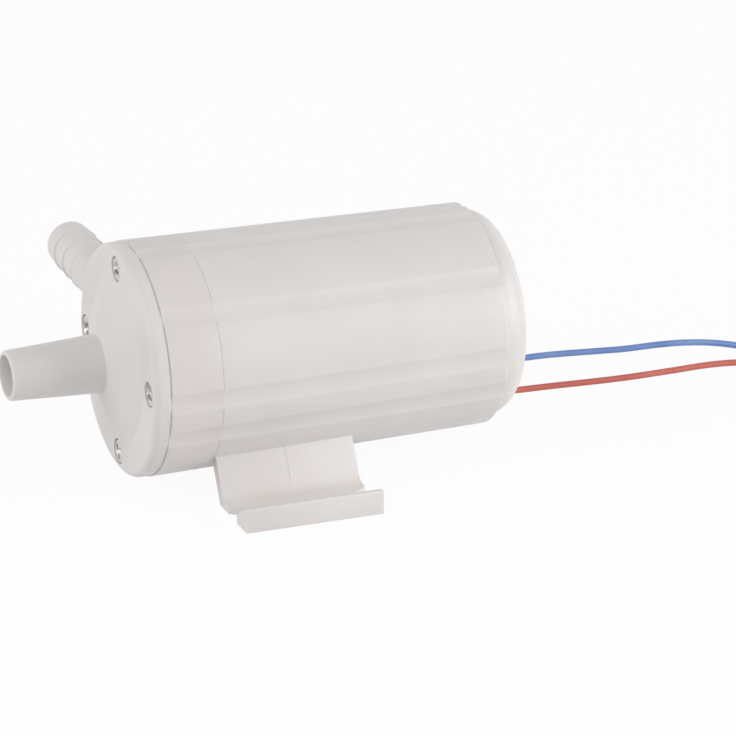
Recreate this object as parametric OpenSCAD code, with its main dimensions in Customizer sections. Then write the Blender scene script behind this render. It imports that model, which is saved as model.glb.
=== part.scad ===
// Inline water pump: a sealed electric motor drives a small impeller behind a
// screwed front cover that carries a straight inlet spigot and a side outlet.
// Units are millimetres. The pump axis lies along X, the inlet end is at -X,
// and the origin is on the surface that the feet stand on, under their middle.

/* [Body] */
// Outside diameter of the body at the seam behind the front cover
body_d = 50; // [46:0.5:60]
// Draft of the moulded body, in degrees
body_draft = 1; // [0.6:0.1:1.2]
// Length of the pump housing, from the seam to the motor housing
ring_len = 11.6; // [11.2:0.1:13]
// Length from the seam to the end of the fluted surface
fluted_len = 76; // [74:0.1:90]
// Length of the smooth closed end behind the flutes
end_len = 6; // [6:0.1:8]
// Step down from the fluted surface to the smooth end
rear_step = 1; // [0.4:0.1:1.4]
// Rounding of the closed end
rear_round = 5.8; // [3:0.1:5.9]
// Wall of both housings
wall = 2.6; // [2:0.1:3]

/* [Flutes] */
// Depth of a flute below the body surface
flute_depth = 0.4; // [0.2:0.05:0.8]
// Radius of the hollow that forms a flute
flute_r = 8; // [4:0.5:12]

/* [Front cover] */
// Outside diameter of the cover's rim
cover_d = 49.6; // [46:0.1:52]
// Thickness of the rim
rim_t = 3.5; // [3.2:0.1:5]
// Rounding of the rim's front edge
rim_round = 3; // [1:0.1:3.1]
// Diameter of the raised cone where it leaves the rim
cone_d = 33.8; // [32:0.1:35]
// Height of the raised cone above the rim
cone_h = 4.3; // [3.5:0.1:6]
// Diameter of the pump chamber
chamber_d = 30; // [29:0.1:30.4]
// Wall of the chamber
chamber_wall = 3; // [2.6:0.1:3.1]
// Depth of the chamber behind the seam
chamber_depth = 7; // [6.8:0.1:8]
// Width of the shadow gap between the cover and the pump housing
seam_gap = 0.4; // [0.2:0.05:0.6]

/* [Inlet spigot] */
// Length of the spigot in front of the cone
spigot_len = 20; // [14:0.5:30]
// Diameter of the spigot at its root
spigot_root_d = 12; // [11:0.1:12.6]
// Diameter of the spigot at its tip
spigot_tip_d = 10.6; // [10:0.1:11]
// Bore of the spigot
inlet_bore_d = 8; // [6:0.1:8.4]

/* [Outlet spigot] */
// Distance of the outlet's axis behind the seam
outlet_x = 1.5; // [1.3:0.1:1.6]
// Height of the outlet's axis above the pump axis
outlet_rise = 9.9; // [9.6:0.1:10.2]
// Distance from the pump axis to the outlet's tip
outlet_reach = 44.5; // [40:0.5:60]
// Diameter of the outlet where it leaves the cover
outlet_root_d = 10.2; // [9.6:0.1:10.6]
// Diameter of the sharp edge of a barb
barb_d = 10.5; // [10:0.1:11]
// Diameter in front of a barb
barb_neck_d = 9.8; // [9.2:0.1:9.9]
// Length of one barb
barb_pitch = 5.5; // [4:0.1:6]
// Number of barbs
barb_count = 3; // [1:1:3]
// Bore of the outlet
outlet_bore_d = 7; // [5:0.1:7.4]

/* [Cover screws] */
// Diameter of the circle that the screws stand on
screw_circle_d = 41; // [40.8:0.1:41.4]
// Diameter of the screw thread
screw_d = 3; // [2.5:0.1:3]
// Diameter of the screw head
screw_head_d = 5.2; // [4.6:0.1:5.4]
// Height of the screw head
screw_head_h = 1.3; // [1:0.1:1.5]
// Depth of the head's top below the face of the rim
head_sink = 0.2; // [0:0.1:0.6]
// Length of the screw under its head
screw_len = 19; // [17:0.5:19.5]

/* [Feet] */
// Height of the pump axis above the surface that the feet stand on
axis_h = 27.1; // [26.6:0.1:29]
// Length of a foot along the body
foot_len = 30.4; // [24:0.2:40]
// Gap between the pump housing and the front of the feet
foot_gap = 0.5; // [0.2:0.1:3]
// Distance from the middle plane to the foot's outer side, on its flange
foot_base_u = 22.5; // [21.5:0.1:23.5]
// Distance from the middle plane to the outside of the lip
foot_reach = 36.6; // [34:0.1:42]
// Lean of the foot's wall from the vertical, in degrees
foot_lean = 30; // [24:1:34]
// Thickness of the foot's wall, measured level
foot_wall = 3.2; // [2.4:0.1:3.6]
// Thickness of the flange
flange_t = 1.8; // [1.2:0.1:2.4]
// Height of the lip
lip_h = 5.2; // [4:0.1:6.5]
// Width of the lip at its bottom
lip_w = 6; // [4:0.1:7]
// Length of the open corner between the flange and the lip
notch_len = 6.8; // [3:0.1:9]

/* [Motor] */
// Outside diameter of the motor can
can_d = 33.6; // [32.6:0.1:33.8]
// Length of the motor can
can_len = 40; // [38:0.5:42]
// Wall of the motor can
can_wall = 1.2; // [0.8:0.1:1.4]
// Diameter of the motor shaft
shaft_d = 3.1; // [2:0.1:3.2]
// Thickness of the field magnets
magnet_t = 3; // [2:0.1:3.4]
// Air gap between the magnets and the rotor
air_gap = 0.4; // [0.3:0.05:0.6]
// Length of the rotor's iron core
core_len = 20; // [16:0.5:20.5]
// Number of rotor poles
pole_count = 5; // [3:1:5]

/* [Impeller] */
// Outside diameter of the impeller
impeller_d = 27; // [24:0.1:27.4]
// Number of vanes
vane_count = 6; // [3:1:8]
// Thickness of a vane
vane_t = 1.2; // [0.8:0.1:1.6]
// Radius that a vane curves to
vane_r = 9; // [8:0.5:14]

/* [Leads] */
// Outside diameter of a lead's insulation
wire_d = 1.9; // [1.6:0.1:2]
// Distance of each lead from the middle plane, where it leaves the body
lead_y = 7.8; // [7:0.1:8]
// Depth of the leads below the pump axis, where they leave the body
lead_drop = 16; // [15:0.1:16]
// Length of the tinned end
bare_len = 6; // [4:0.5:10]

/* [Hidden] */

// Smoothness of turned faces
round_fn = 96;
// Overrun of every cut past the face that it opens
cut = 0.5;
// Clearance between pieces that slide together
fit_gap = 0.1;
// Running clearance on the shaft, on its radius
run_gap = 0.05;
// Sides and smoothing steps of a free lead, and sides and rings of its coil
lead_sides = 8;
lead_steps = 2;
coil_sides = 6;
coil_rings = 24;
// Degrees from one ring to the next round a bend of a lead inside the body
bend_step = 15;

// Body, worked out from the sizes above
body_r = body_d / 2;
foot_mid = ring_len + foot_gap + foot_len / 2;
body_len = fluted_len + end_len;
end_r = body_r_at(fluted_len) - rear_step;
cavity_corner = 1;
cavity_end = body_len - wall;
panel_chamfer = 0.4;
edge_chamfer = 0.3;

// Angles of the flutes above the level of the pump axis, on the near side. The far side mirrors them
flute_angles = [-24, -3.5, 39, 81.5];

// Front cover
cover_r = cover_d / 2;
chamber_r = chamber_d / 2;
cup_r = chamber_r + chamber_wall;
cone_top = -rim_t - cone_h;
spigot_tip = cone_top - spigot_len;
spigot_flare = 0.6;
spigot_flare_len = 0.8;
spigot_lip = 0.5;
roof_t = 2.5;
roof_x = -rim_t + roof_t;
roof_eye_x = cone_top + roof_t;
eye_step = 1.5;
roof_eye_r = inlet_bore_d / 2 + eye_step;

// Seal between the chamber's end and the bulkhead
seal_d = 1.5;
seal_proud = 0.3;
seal_side = 0.05;
seal_r = chamber_r + chamber_wall / 2;
bulkhead_x = chamber_depth + seal_proud;
bulkhead_t = 2.7;
bulkhead_back = bulkhead_x + bulkhead_t;

// Screws and the bosses that take them
screw_circle_r = screw_circle_d / 2;
screw_angles = [0, 90, 180, 270];
screw_hole_gap = 0.15;
boss_wall = 1.7;
boss_r = screw_d / 2 + boss_wall;
head_gap = 0.3;
head_seat_x = -rim_t + head_sink + screw_head_h;
head_dome = 0.45;
recess_w = 0.75;
recess_l = 3.2;
recess_depth = 0.8;
screw_end_x = head_seat_x + screw_len;
boss_end_x = screw_end_x + cut;

// Sleeve of the pump housing round the chamber, and the notch for the outlet
sleeve_t = 1.5;
notch_gap = 0.25;

// Flat gasket between the two housings
gasket_t = 0.6;
gasket_w = 1.3;
gasket_r = body_r_at(ring_len) - wall + gasket_w;

// Motor can and what lies inside it
can_r = can_d / 2;
can_gap = 3;
can_x = bulkhead_back + can_gap;
can_in_r = can_r - can_wall;
nose_r = 6.5;
nose_len = 2.4;
register_t = 2;
bearing_r = 3.5;
bearing_len = 3.6;
nose_skin_share = 0.8;
bearing_x = can_x - nose_len + nose_skin_share * can_wall;
shaft_r = shaft_d / 2;
shaft_hole_gap = 0.65;
can_end = can_x + can_len;
core_r = can_in_r - magnet_t - air_gap;
magnet_over = 3;
magnet_len = core_len + 2 * magnet_over;
magnet_split = 8;
slot_r = 2.5;
slot_mouth = 1.2;
slot_land = 1.32;
slot_circle_r = core_r - slot_r - slot_land;
coil_end_len = 3.5;
coil_end_in = slot_circle_r - slot_r;
coil_end_out = slot_circle_r + slot_r;
coil_chamfer = 0.9;
commutator_len = 5.2;
commutator_gap = 2.2;
commutator_x = can_end - commutator_gap - commutator_len;
core_x = commutator_x - fit_gap - coil_end_len - core_len;
magnet_x = core_x - magnet_over;
commutator_r = 4.2;
commutator_flange = 0.9;
commutator_slot = 0.4;
commutator_slot_depth = 0.6;

// Brush plate at the back of the can
plate_t = 2.5;
plate_spigot = 1.6;
plate_back = can_end + plate_t;
rear_boss_r = 5.2;
rear_boss_len = 3;
shaft_end = plate_back + rear_boss_len - cut;
shaft_start = 0.5;
brush_w = 3;
brush_len = 5;
brush_h = 3.4;
brush_inset = 1.2;
brush_x = commutator_x + brush_inset;
brush_y = commutator_r + run_gap;
holder_t = 1;
holder_len = 3.4;
holder_gap = 1.1;
holder_y = brush_y + holder_gap;
spring_t = 0.3;
spring_w = 2.8;
spring_reach = 7;
post_r = 1.1;

// Terminals
tab_t = 0.6;
tab_w = 3;
tab_y = 11.5;
tab_len = 6;
tab_inside = 1.5;
tab_hole_r = 0.6;

// Impeller
impeller_r = impeller_d / 2;
impeller_disc_t = 1.3;
impeller_back_gap = 0.8;
impeller_back = chamber_depth - impeller_back_gap;
hub_r = 3.6;
hub_nose = -1.5;
vane_gap = 0.9;
vane_in_r = hub_r - vane_t / 2;
vane_out_r = impeller_r - vane_t / 4;

// Shaft seal
shaft_seal_r = 4.5;
shaft_seal_t = 2;
shaft_seal_lip = 0.8;

// Ribs that carry the motor can in its housing
rib_t = 2;
rib_angles = [45, 135, 225, 315];
rib_stop = 2.5;
rib_stop_len = 3;
rib_sink_share = 0.65;

// Feet
lip_slope_w = 3.8;
lip_round = 0.5;
foot_fillet = 3;
foot_line_w = 0.25;
foot_line_depth = 0.2;
foot_seat_angle = 30;
foot_top = axis_h - body_r * sin(foot_seat_angle);

// Leads
wire_r = wire_d / 2;
grommet_wall = 0.76;
grommet_r = wire_r + grommet_wall;
grommet_sink = 0.8;
joint_gap = 0.25;
grommet_len = 3.8;
collar_t = 1.2;
collar_len = 2.5;
grommet_face = body_len - grommet_sink;
bare_r = 0.55;
lead_h = axis_h - lead_drop;

// Route of each free lead: straight out of the body, then down to the surface
red_route = [
    [53.9, -7.8, 11.1], [58, -7.8, 11.1], [64, -7.9, 11.1], [70, -8, 11],
    [76, -8.1, 10.9], [82, -8.1, 10.8], [88, -8, 10.8], [94, -7.9, 10.9],
    [100, -7.8, 10.9], [106, -7.8, 10.6], [111, -7.8, 9.8], [116, -7.8, 8.2],
    [121, -7.8, 6], [126, -7.8, 3.6], [130.5, -7.8, 1.9], [135, -7.8, 1.05],
    [140.1, -7.8, 0.96]
];
blue_route = [
    [53.9, 7.8, 11.1], [58, 7.8, 11.1], [64, 7.8, 11], [70, 7.7, 10.7],
    [76, 7.6, 10.3], [82, 7.6, 9.9], [88, 7.6, 9.6], [94, 7.7, 9.4],
    [100, 7.8, 9.2], [106, 7.8, 8.8], [111, 7.8, 8.1], [116, 7.8, 6.8],
    [121, 7.8, 5], [126, 7.8, 3], [130.5, 7.8, 1.6], [135, 7.8, 1.02],
    [140.1, 7.8, 0.96]
];
// Coil that holds the rest of each lead, in two layers
coil_x = 142;
coil_y = 7.8;
coil_h = 0.96;
coil_turns = 3;
coil_r = 11.9;
coil_pitch = 2.4;
coil_layer = 2.4;

// Colours
pale = [0.86, 0.85, 0.83];
rubber = [0.1, 0.1, 0.1];
steel = [0.72, 0.73, 0.75];
copper = [0.72, 0.42, 0.24];
brass = [0.78, 0.66, 0.36];
iron = [0.35, 0.35, 0.37];
ferrite = [0.2, 0.2, 0.21];
carbon = [0.15, 0.15, 0.16];
cream = [0.9, 0.88, 0.8];
red = [0.78, 0.2, 0.18];
blue = [0.36, 0.45, 0.78];
tin = [0.8, 0.8, 0.82];

// Radius of the drafted body at a distance behind the seam
function body_r_at(x) = body_d / 2 - x * tan(body_draft);

// Points of an arc, from one angle to another
function arc(centre, r, from, to, steps) =
    [for (i = [0:steps]) let (a = from + (to - from) * i / steps)
        centre + r * [cos(a), sin(a)]];

// Turns an outline of [radius, distance behind the seam] about the pump axis
module turned() rotate([0, 90, 0]) rotate_extrude($fn = round_fn) children();

// A round bar along the pump axis
module bar(from, to, r) translate([from, 0, 0]) rotate([0, 90, 0])
    cylinder(r = r, h = to - from, $fn = round_fn);

// Turns a child that points up to an angle above the near side's level
module at_angle(e) rotate([90 - e, 0, 0]) children();

// Lifts the pump axis to its height and sets the origin under the feet
module on_axis() translate([-foot_mid, 0, axis_h]) children();

// Places a child at each cover screw
module at_screws() for (e = screw_angles) at_angle(e)
    translate([0, 0, screw_circle_r]) children();

// Hollows that run the whole length of the body, tilted with its draft
module flutes() for (e = flute_angles) for (a = [e, 180 - e]) at_angle(a)
    translate([0, 0, body_r + flute_r - flute_depth]) rotate([0, 90 + body_draft, 0])
        translate([0, 0, -cut]) cylinder(r = flute_r, h = body_len, $fn = round_fn);

// Front cover: rim, raised cone, inlet spigot, chamber wall and outlet in one moulding
module cover_outline() {
    polygon([
        [0, spigot_tip + spigot_lip], [spigot_tip_d / 2, spigot_tip + spigot_lip],
        [spigot_root_d / 2, cone_top - spigot_flare_len],
        [spigot_root_d / 2 + spigot_flare, cone_top], [cone_d / 2, -rim_t],
        [cover_r - rim_round, -rim_t], [cover_r - rim_round, 0], [0, 0]
    ]);
    translate([0, spigot_tip]) square([spigot_tip_d / 2 - spigot_lip, spigot_lip + cut]);
    translate([spigot_tip_d / 2 - spigot_lip, spigot_tip + spigot_lip])
        circle(r = spigot_lip, $fn = round_fn);
    translate([0, rim_round - rim_t]) square([cover_r, rim_t - rim_round]);
    intersection() {
        translate([cover_r - rim_round, rim_round - rim_t]) circle(r = rim_round, $fn = round_fn);
        translate([0, -rim_t]) square([cover_r, rim_t]);
    }
    square([cup_r, chamber_depth]);
}

module chamber_outline() polygon([
    [0, chamber_depth + cut], [chamber_r, chamber_depth + cut], [chamber_r, roof_x],
    [roof_eye_r, roof_eye_x], [0, roof_eye_x]
]);

// Along the outlet's axis, from the middle plane outwards
module along_outlet() translate([outlet_x, 0, outlet_rise]) rotate([-90, 0, 0]) children();

module outlet_outside() along_outlet() {
    barbs_start = outlet_reach - barb_count * barb_pitch;
    translate([0, 0, chamber_r]) cylinder(d = outlet_root_d, h = barbs_start - chamber_r, $fn = round_fn);
    for (i = [0:barb_count - 1]) translate([0, 0, barbs_start + i * barb_pitch])
        cylinder(d1 = barb_d, d2 = barb_neck_d, h = barb_pitch, $fn = round_fn);
}

module front_cover() color(pale) on_axis() difference() {
    union() {
        turned() cover_outline();
        outlet_outside();
    }
    turned() chamber_outline();
    bar(spigot_tip - cut, 0, inlet_bore_d / 2);
    along_outlet() cylinder(d = outlet_bore_d, h = outlet_reach + cut, $fn = round_fn);
    at_screws() bar(-rim_t - cut, cut, screw_d / 2 + screw_hole_gap);
    at_screws() bar(-rim_t - cut, head_seat_x, screw_head_d / 2 + head_gap);
    difference() {
        bar(chamber_depth - seal_d + seal_proud, chamber_depth + cut, seal_r + seal_d / 2 + seal_side);
        bar(0, body_len, seal_r - seal_d / 2 - seal_side);
    }
}

// Cross-recessed pan head screws that hold the cover
module screw() {
    difference() {
        rotate([0, 90, 0]) rotate_extrude($fn = round_fn) intersection() {
            translate([0, head_seat_x - screw_head_h]) square([screw_head_d / 2, screw_head_h]);
            head_ball = (pow(screw_head_d / 2, 2) + pow(head_dome, 2)) / (2 * head_dome);
            translate([0, head_seat_x - screw_head_h + head_ball]) circle(r = head_ball, $fn = round_fn);
        }
        for (a = [0, 90]) rotate([a + 45 / 3, 0, 0])
            translate([head_seat_x - screw_head_h - cut, -recess_w / 2, -recess_l / 2])
                cube([recess_depth + cut, recess_w, recess_l]);
    }
    bar(head_seat_x, screw_end_x - screw_d / 2, screw_d / 2);
    translate([screw_end_x - screw_d / 2, 0, 0]) rotate([0, 90, 0])
        cylinder(r1 = screw_d / 2, r2 = screw_d / 8, h = screw_d / 2, $fn = round_fn);
}

module cover_screws() color(steel) on_axis() at_screws() screw();

module cover_seal() color(rubber) on_axis() turned()
    translate([seal_r, bulkhead_x - seal_d / 2]) circle(d = seal_d, $fn = round_fn);

// Pump housing: ring, bulkhead, screw bosses and the seat of the motor's nose
module ring_outline() {
    difference() {
        polygon([
            [0, seam_gap], [body_r_at(seam_gap) - edge_chamfer, seam_gap],
            [body_r_at(seam_gap), seam_gap + edge_chamfer], [body_r_at(ring_len), ring_len],
            [0, ring_len]
        ]);
        square([body_r_at(ring_len) - wall, ring_len + cut]);
    }
    translate([0, bulkhead_x]) square([body_r_at(ring_len) - wall + cut, bulkhead_t]);
    translate([cup_r + fit_gap, seam_gap]) square([sleeve_t, bulkhead_x - seam_gap]);
    translate([nose_r + fit_gap, bulkhead_x]) square([register_t, can_x - bulkhead_x]);
}

module pump_housing() color(pale) on_axis() difference() {
    union() {
        turned() ring_outline();
        at_screws() bar(0, ring_len, boss_r);
    }
    flutes();
    bar(-cut, bulkhead_x, cup_r + fit_gap);
    at_screws() bar(-cut, ring_len + cut, screw_d / 2 + screw_hole_gap);
    bar(bulkhead_x - cut, can_x, shaft_r + shaft_hole_gap);
    bar(bulkhead_back - shaft_seal_t, can_x, shaft_seal_r);
    translate([ring_len - gasket_t, 0, 0]) rotate([0, 90, 0]) difference() {
        cylinder(r = gasket_r + seal_side, h = gasket_t + cut, $fn = round_fn);
        translate([0, 0, -cut])
            cylinder(r = gasket_r - gasket_w - seal_side, h = gasket_t + 3 * cut, $fn = round_fn);
    }
    intersection() {
        along_outlet() union() {
            cylinder(r = outlet_root_d / 2 + notch_gap, h = body_r + cut, $fn = round_fn);
            translate([-outlet_x - cut, -outlet_root_d / 2 - notch_gap, 0])
                cube([outlet_x + cut, outlet_root_d + 2 * notch_gap, body_r + cut]);
        }
        translate([-cut, chamber_r / 2, 0]) cube([bulkhead_x + cut, body_r, body_r]);
    }
}

module housing_gasket() color(rubber) on_axis() difference() {
    bar(ring_len - gasket_t, ring_len, gasket_r);
    bar(ring_len - gasket_t - cut, ring_len + cut, gasket_r - gasket_w);
}

// Impeller with curved vanes that follow the cone of the cover
module vane_plan() intersection() {
    translate([0, vane_r]) difference() {
        circle(r = vane_r + vane_t / 2, $fn = round_fn);
        circle(r = vane_r - vane_t / 2, $fn = round_fn);
    }
    translate([0, -vane_t]) square([impeller_r, impeller_r + vane_t]);
    difference() {
        circle(r = vane_out_r, $fn = round_fn);
        circle(r = vane_in_r, $fn = round_fn);
    }
}

module impeller() color(cream) on_axis() {
    vane_eye_x = roof_eye_x + vane_gap;
    vane_h = impeller_back - impeller_disc_t / 2 - vane_eye_x;
    vane_tip_x = roof_x + vane_gap - (chamber_r - impeller_r) * (roof_x - roof_eye_x)
        / (chamber_r - roof_eye_r);
    difference() {
        union() {
            bar(impeller_back - impeller_disc_t, impeller_back, impeller_r);
            bar(hub_nose, impeller_back, hub_r);
            intersection() {
                rotate([0, 90, 0]) translate([0, 0, vane_eye_x - cut]) for (i = [0:vane_count - 1])
                    rotate([0, 0, 360 * i / vane_count])
                        linear_extrude(height = vane_h + cut) vane_plan();
                turned() polygon([
                    [0, vane_eye_x], [roof_eye_r, vane_eye_x], [impeller_r + cut, vane_tip_x],
                    [impeller_r + cut, vane_eye_x + vane_h + cut], [0, vane_eye_x + vane_h + cut]
                ]);
            }
        }
        bar(shaft_start, impeller_back + cut, shaft_r);
    }
}

module shaft_seal() color(rubber) on_axis() difference() {
    bar(bulkhead_back - shaft_seal_t, bulkhead_back, shaft_seal_r);
    bar(0, body_len, shaft_r + run_gap);
    difference() {
        bar(bulkhead_back - shaft_seal_t / 2, bulkhead_back + cut, shaft_seal_r - shaft_seal_lip);
        bar(0, body_len, shaft_r + run_gap + shaft_seal_lip);
    }
}

// Motor housing: a fluted cup with a closed rounded end
module housing_outline() {
    polygon([
        [0, ring_len], [body_r_at(ring_len) - edge_chamfer / 2, ring_len],
        [body_r_at(ring_len), ring_len + edge_chamfer / 2],
        [body_r_at(fluted_len), fluted_len - panel_chamfer],
        [body_r_at(fluted_len) - panel_chamfer, fluted_len],
        [end_r, fluted_len], [end_r, body_len - rear_round], [0, body_len - rear_round]
    ]);
    translate([end_r - rear_round, body_len - rear_round]) circle(r = rear_round, $fn = round_fn);
    translate([0, body_len - rear_round]) square([end_r - rear_round, rear_round]);
}

module cavity_outline() {
    cavity_r = body_r_at(fluted_len) - rear_step - wall;
    polygon([
        [0, ring_len - cut], [body_r_at(ring_len) - wall, ring_len - cut],
        [body_r_at(ring_len) - wall, ring_len], [cavity_r, cavity_end - cavity_corner],
        [cavity_r - cavity_corner, cavity_end], [0, cavity_end]
    ]);
}

module at_leads() for (side = [-1, 1]) translate([0, side * lead_y, -lead_drop]) children();

module housing_ribs() for (e = rib_angles) at_angle(e) {
    rib_top = body_r_at(boss_end_x) - wall * rib_sink_share;
    translate([boss_end_x, -rib_t / 2, can_r + fit_gap])
        cube([plate_back - boss_end_x + rib_stop_len, rib_t, rib_top - can_r - fit_gap]);
    translate([plate_back + fit_gap, -rib_t / 2, can_r - rib_stop])
        cube([rib_stop_len - fit_gap, rib_t, rib_stop + cut]);
}

module motor_housing() color(pale) on_axis() difference() {
    union() {
        difference() {
            turned() housing_outline();
            turned() cavity_outline();
        }
        at_screws() bar(ring_len, boss_end_x, boss_r);
        housing_ribs();
        intersection() {
            at_leads() bar(cavity_end - collar_len, cavity_end + cut, grommet_r + collar_t);
            turned() housing_outline();
        }
    }
    flutes();
    at_screws() bar(ring_len - cut, screw_end_x, screw_d / 2);
    at_leads() bar(cavity_end - collar_len - cut, body_len + cut, grommet_r);
}

// Feet: a leaning wall, a flange and an upturned lip, open at the corners.
// The outline runs in [distance from the middle plane, height]
module foot_outline() {
    wall_lean = tan(foot_lean);
    top_u = foot_base_u - (foot_top - flange_t) * wall_lean;
    bottom_u = foot_base_u + flange_t * wall_lean - foot_wall;
    fillet_run = foot_fillet * tan((90 - foot_lean) / 2);
    fillet_centre = [foot_base_u + fillet_run, flange_t + foot_fillet];
    lip_in = foot_reach - lip_w;
    polygon(concat(
        [[bottom_u, 0], [top_u - foot_wall, foot_top], [top_u, foot_top]],
        arc(fillet_centre, foot_fillet, 180 + foot_lean, 270, 5),
        [[lip_in, flange_t], [lip_in + lip_slope_w, lip_h - lip_round]],
        arc([foot_reach - lip_round, lip_h - lip_round], lip_round, 90, 0, 4),
        [[foot_reach, 0]]
    ));
}

// One foot, on the side that the sign gives
module foot(side) mirror([0, side > 0 ? 1 : 0, 0]) difference() {
    translate([-foot_len / 2, 0, 0]) rotate([90, 0, 90]) mirror([1, 0, 0])
        linear_extrude(height = foot_len) foot_outline();
    on_axis() body_cone();
    for (end = [-1, 1]) scale([end, 1, 1]) translate([0, 0, -cut])
        linear_extrude(height = flange_t + 2 * cut) polygon([
            [foot_len / 2 + cut, -foot_reach + lip_w],
            [foot_len / 2 - notch_len, -foot_reach + lip_w],
            [foot_len / 2 + cut, -foot_base_u - foot_fillet + cut]
        ]);
    translate([0, -foot_base_u, flange_t]) rotate([-foot_lean, 0, 0])
        translate([-foot_line_w / 2, -foot_line_depth, foot_fillet / 2])
            cube([foot_line_w, foot_line_depth + cut, foot_top]);
}

// The body's outside, which the feet are shaped to
module body_cone() rotate([0, 90, 0])
    cylinder(r1 = body_r, r2 = body_r_at(fluted_len), h = fluted_len, $fn = round_fn);

module right_foot() color(pale) foot(-1);

module left_foot() color(pale) foot(1);

// Motor: a drawn can with a bearing nose
module motor_can() color(steel) on_axis() difference() {
    union() {
        bar(can_x, can_end, can_r);
        bar(can_x - nose_len, can_x, nose_r);
    }
    bar(can_x + can_wall, can_end + cut, can_in_r);
    bar(can_x - nose_len - cut, can_x + cut, shaft_r + shaft_hole_gap);
    bar(bearing_x, can_x + can_wall + cut, bearing_r);
}

module motor_magnets() color(ferrite) on_axis() difference() {
    bar(magnet_x, magnet_x + magnet_len, can_in_r);
    bar(magnet_x - cut, magnet_x + magnet_len + cut, can_in_r - magnet_t);
    translate([magnet_x - cut, -magnet_split / 2, -can_r])
        cube([magnet_len + 2 * cut, magnet_split, can_d]);
}

module motor_shaft() color(steel) on_axis() bar(shaft_start, shaft_end, shaft_r);

module at_slots() for (i = [0:pole_count - 1]) at_angle(360 * i / pole_count)
    translate([0, 0, slot_circle_r]) children();

module rotor_core() color(iron) on_axis() difference() {
    bar(core_x, core_x + core_len, core_r);
    bar(core_x - cut, core_x + core_len + cut, shaft_r);
    at_slots() bar(core_x - cut, core_x + core_len + cut, slot_r);
    at_slots() translate([core_x - cut, -slot_mouth / 2, 0])
        cube([core_len + 2 * cut, slot_mouth, core_r]);
}

module coil_end(x) turned() polygon([
    [coil_end_in, x], [coil_end_out - coil_chamfer, x], [coil_end_out, x + coil_chamfer],
    [coil_end_out, x + coil_end_len - coil_chamfer],
    [coil_end_out - coil_chamfer, x + coil_end_len], [coil_end_in, x + coil_end_len]
]);

module rotor_windings() color(copper) on_axis() {
    at_slots() bar(core_x - cut, core_x + core_len + cut, slot_r - run_gap);
    coil_end(core_x - coil_end_len);
    coil_end(core_x + core_len);
}

module commutator() color(copper) on_axis() difference() {
    union() {
        bar(commutator_x, commutator_x + commutator_len, commutator_r);
        bar(commutator_x, commutator_x + commutator_flange, commutator_r + commutator_flange);
    }
    bar(commutator_x - cut, commutator_x + commutator_len + cut, shaft_r);
    for (i = [0:pole_count - 1]) at_angle(360 * (i + 1 / 2) / pole_count)
        translate([commutator_x - cut, -commutator_slot / 2, commutator_r - commutator_slot_depth])
            cube([commutator_len + 2 * cut, commutator_slot, body_r]);
}

module bearing(x) difference() {
    bar(x, x + bearing_len, bearing_r);
    bar(x - cut, x + bearing_len + cut, shaft_r + run_gap);
}

module front_bearing() color(brass) on_axis() bearing(bearing_x);

module rear_bearing() color(brass) on_axis() bearing(plate_back + rear_boss_len - cut - bearing_len);

// Places a child on both sides of the commutator, turned by half a turn
module both_sides() for (a = [0, 180]) rotate([a, 0, 0]) children();

module brush_plate() color(carbon) on_axis() difference() {
    union() {
        bar(can_end, plate_back, can_r);
        difference() {
            bar(can_end - plate_spigot, can_end, can_in_r - fit_gap);
            bar(can_end - plate_spigot - cut, can_end, can_in_r - can_wall - fit_gap);
        }
        bar(plate_back, plate_back + rear_boss_len, rear_boss_r);
        both_sides() translate([brush_x - holder_t, holder_y, -brush_w / 2 - holder_t])
            cube([can_end - brush_x + holder_t, holder_len, brush_w + 2 * holder_t]);
        both_sides() translate([0, brush_y + brush_len + spring_t + post_r, -spring_reach])
            bar(brush_x, can_end, post_r);
    }
    both_sides() translate([brush_x - fit_gap, 0, -brush_w / 2 - fit_gap])
        cube([brush_h + 2 * fit_gap, can_r, brush_w + 2 * fit_gap]);
    bar(can_end - cut, plate_back + rear_boss_len + cut, shaft_r + shaft_hole_gap);
    bar(plate_back + rear_boss_len - cut - bearing_len, plate_back + rear_boss_len + cut, bearing_r);
    both_sides() translate([can_end - cut, tab_y - tab_t / 2, -tab_w / 2])
        cube([plate_t + 2 * cut, tab_t, tab_w]);
}

module brushes() color(carbon) on_axis() both_sides()
    translate([brush_x, brush_y, -brush_w / 2]) cube([brush_h, brush_len, brush_w]);

// Leaf springs from a post to the back of each brush
module brush_springs() color(brass) on_axis() both_sides()
    translate([brush_x + (brush_h - spring_w) / 2, brush_y + brush_len, -spring_reach - post_r])
        cube([spring_w, spring_t, spring_reach + post_r + brush_w / 2]);

module terminals() color(brass) on_axis() both_sides() difference() {
    translate([can_end - tab_inside, tab_y - tab_t / 2, -tab_w / 2])
        cube([tab_inside + plate_t + tab_len, tab_t, tab_w]);
    translate([plate_back + tab_len - tab_w / 2, 0, 0]) rotate([-90, 0, 0])
        cylinder(r = tab_hole_r, h = can_r, $fn = round_fn);
}

// Rubber grommets that seal the leads into the closed end
module lead_grommets() color(rubber) on_axis() at_leads() difference() {
    bar(grommet_face - grommet_len, grommet_face, grommet_r);
    bar(grommet_face - grommet_len - cut, grommet_face + cut, wire_r);
}

// A tube swept along a list of points, with a ring of corners round each
function unit(v) = v / norm(v);
function heading(p, i) = unit(p[min(i + 1, len(p) - 1)] - p[max(i - 1, 0)]);
function ring(p, i, r, sides, up) =
    let (t = heading(p, i), s = unit(cross(t, up)), u = cross(s, t))
    [for (k = [0:sides - 1]) p[i] + r * (cos(360 * k / sides) * s + sin(360 * k / sides) * u)];

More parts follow.
